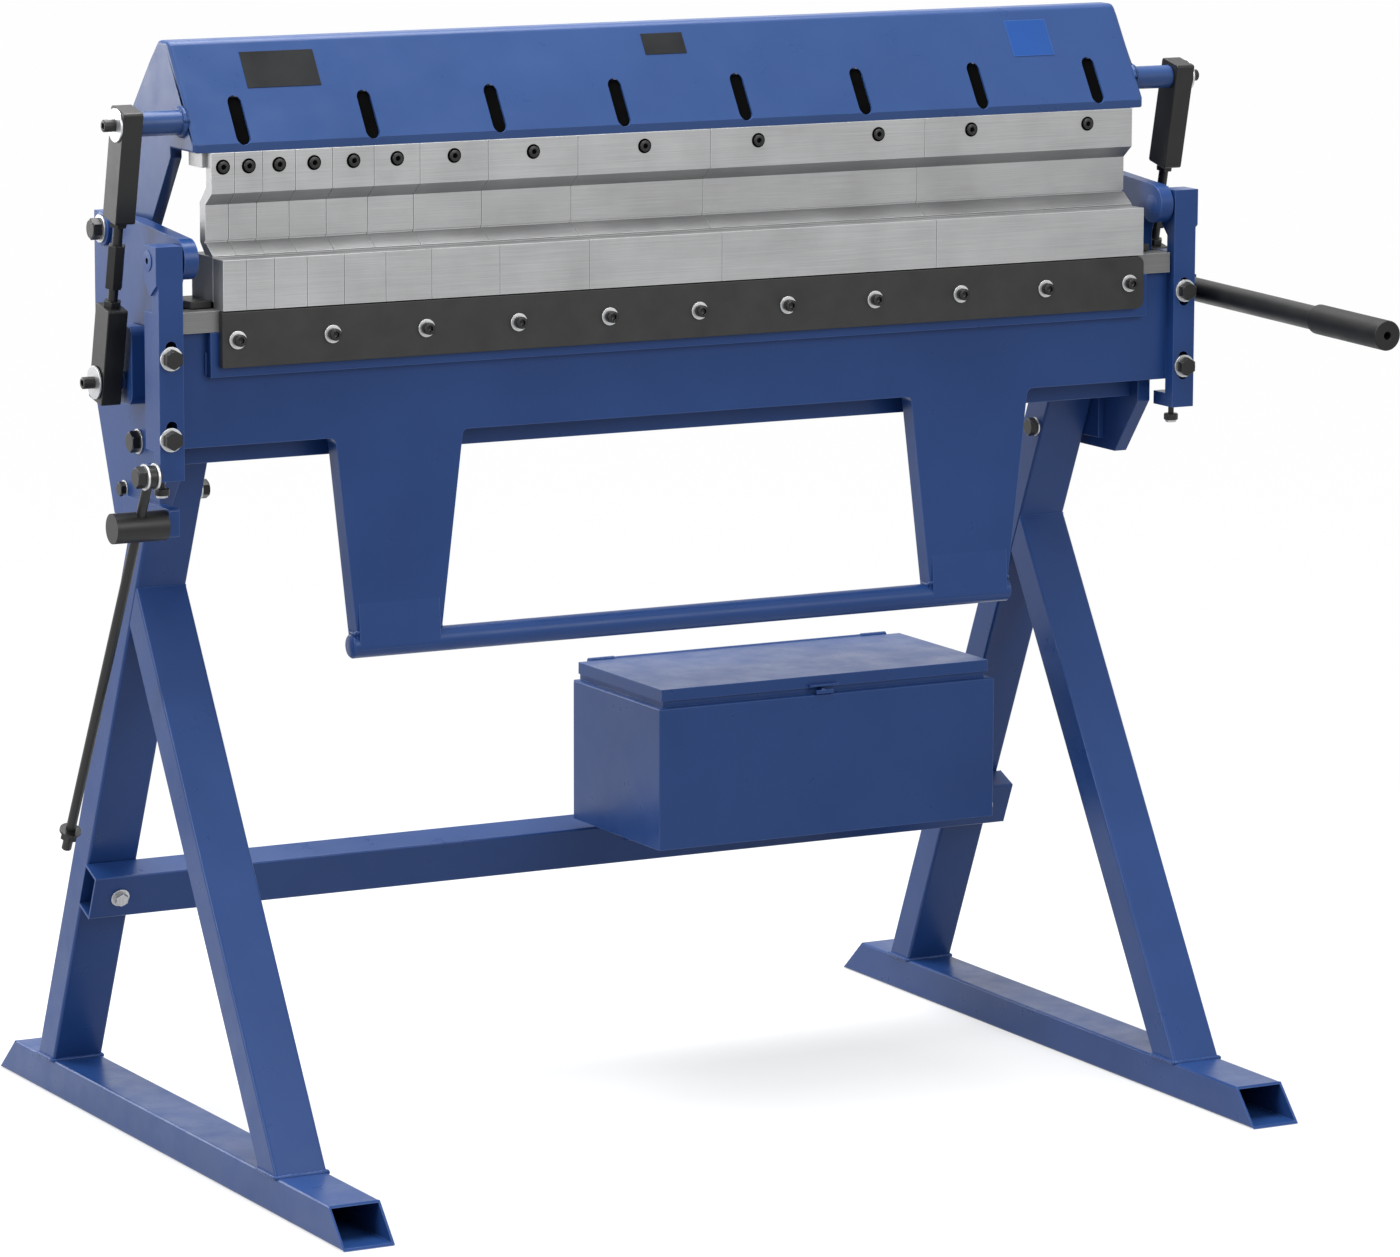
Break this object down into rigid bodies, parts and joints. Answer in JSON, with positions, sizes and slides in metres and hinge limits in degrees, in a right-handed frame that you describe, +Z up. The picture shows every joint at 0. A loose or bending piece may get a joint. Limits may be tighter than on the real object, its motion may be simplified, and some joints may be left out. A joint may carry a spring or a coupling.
{
  "type": "segment folding machine",
  "caption": "Sheet metal folder on a welded stand with segmented clamping fingers, hinged folding apron, side clamp handle and tool box.",
  "frame": {"origin": "on the floor, on the machine's centre plane, midway between the front and rear ends of the feet", "axes": "+X to the operator's right along the fold line, +Y to the rear, +Z up; the operator stands on the -Y side"},
  "size_m": [1.277, 0.8557, 1.1229],
  "materials": {
    "blue_paint": "satin paint",
    "bare_steel": "ground steel",
    "black_oxide": "blackened steel"
  },
  "bodies": {
    "frame": {"left_foot": "blue_paint", "right_foot": "blue_paint", "left_rear_leg": "blue_paint", "right_rear_leg": "blue_paint", "left_front_leg": "blue_paint", "right_front_leg": "blue_paint", "crossbar": "blue_paint", "tool_box": "blue_paint", "left_side_plate": "blue_paint", "right_side_plate": "blue_paint", "leg_spacers": "blue_paint", "bed_beam": "blue_paint", "bed_jaw": "bare_steel", "bed_rail": "black_oxide", "stop_bracket": "blue_paint", "hinge_pins": "bare_steel", "pivot_bolts": "bare_steel"},
    "apron": {"apron_plate": "blue_paint", "apron_pad": "blue_paint", "blade_rest_bar": "bare_steel", "folding_blades": "bare_steel", "blade_clamp_bar": "black_oxide", "left_hinge_arm": "blue_paint", "right_hinge_arm": "blue_paint", "pull_bar": "blue_paint"},
    "clamp_beam": {"beam_shell": "blue_paint", "left_beam_end": "blue_paint", "right_beam_end": "blue_paint", "finger_bar": "bare_steel", "clamp_fingers": "bare_steel"},
    "clamp_shaft": {"clamp_shaft": "bare_steel", "left_crank": "blue_paint", "right_crank": "blue_paint", "handle_lever": "blue_paint", "handle_tube": "black_oxide", "handle_grip": "black_oxide"},
    "left_link": {"left_link_upper_block": "black_oxide", "left_link_rod": "bare_steel", "left_link_lower_block": "black_oxide"},
    "right_link": {"right_link_upper_block": "black_oxide", "right_link_rod": "bare_steel", "right_link_lower_block": "black_oxide"},
    "stop_trunnion": {"stop_trunnion": "black_oxide"},
    "stop_rod": {"stop_rod": "bare_steel"},
    "tool_box_lid": {"tool_box_lid": "blue_paint"}
  },
  "joints": [
    {"name": "apron_fold", "type": "hinge", "parent": "frame", "child": "apron", "pos_m": [0, -0.10805, 0.918], "axis": [-1, 0, 0], "range_deg": [0, 120]},
    {"name": "clamp_turn", "type": "hinge", "parent": "frame", "child": "clamp_shaft", "pos_m": [0, -0.02305, 0.8203], "axis": [-1, 0, 0], "range_deg": [0, 75]},
    {"name": "beam_lift", "type": "hinge", "parent": "frame", "child": "clamp_beam", "pos_m": [0, 0.06565, 0.931], "axis": [-1, 0, 0], "range_deg": [0, 9.94]},
    {"name": "left_link_swing", "type": "hinge", "parent": "clamp_shaft", "child": "left_link", "pos_m": [-0.5995, -0.01635, 0.79], "axis": [-1, 0, 0], "range_deg": [-62.66, 0]},
    {"name": "right_link_swing", "type": "hinge", "parent": "clamp_shaft", "child": "right_link", "pos_m": [0.5995, -0.01635, 0.79], "axis": [-1, 0, 0], "range_deg": [-62.66, 0]},
    {"name": "trunnion_turn", "type": "hinge", "parent": "frame", "child": "stop_trunnion", "pos_m": [-0.603, -0.09876, 0.65741], "axis": [-1, 0, 0], "range_deg": [0, 3.11]},
    {"name": "stop_rod_slide", "type": "slide", "parent": "stop_trunnion", "child": "stop_rod", "axis": [0, -0.4741, 0.8805], "range_m": [0, 0.361]},
    {"name": "lid_open", "type": "hinge", "parent": "frame", "child": "tool_box_lid", "pos_m": [0, 0.16115, 0.43189], "axis": [-1, 0, 0], "range_deg": [0, 100]}
  ],
  "couplings": [
    {"joint": "beam_lift", "follows": "clamp_turn", "ratio": 0.13238},
    {"joint": "left_link_swing", "follows": "clamp_turn", "ratio": -0.83524},
    {"joint": "right_link_swing", "follows": "clamp_turn", "ratio": -0.83524},
    {"joint": "trunnion_turn", "follows": "apron_fold", "ratio": 0.025807},
    {"joint": "stop_rod_slide", "follows": "apron_fold", "m_per_rad": 0.17229}
  ]
}
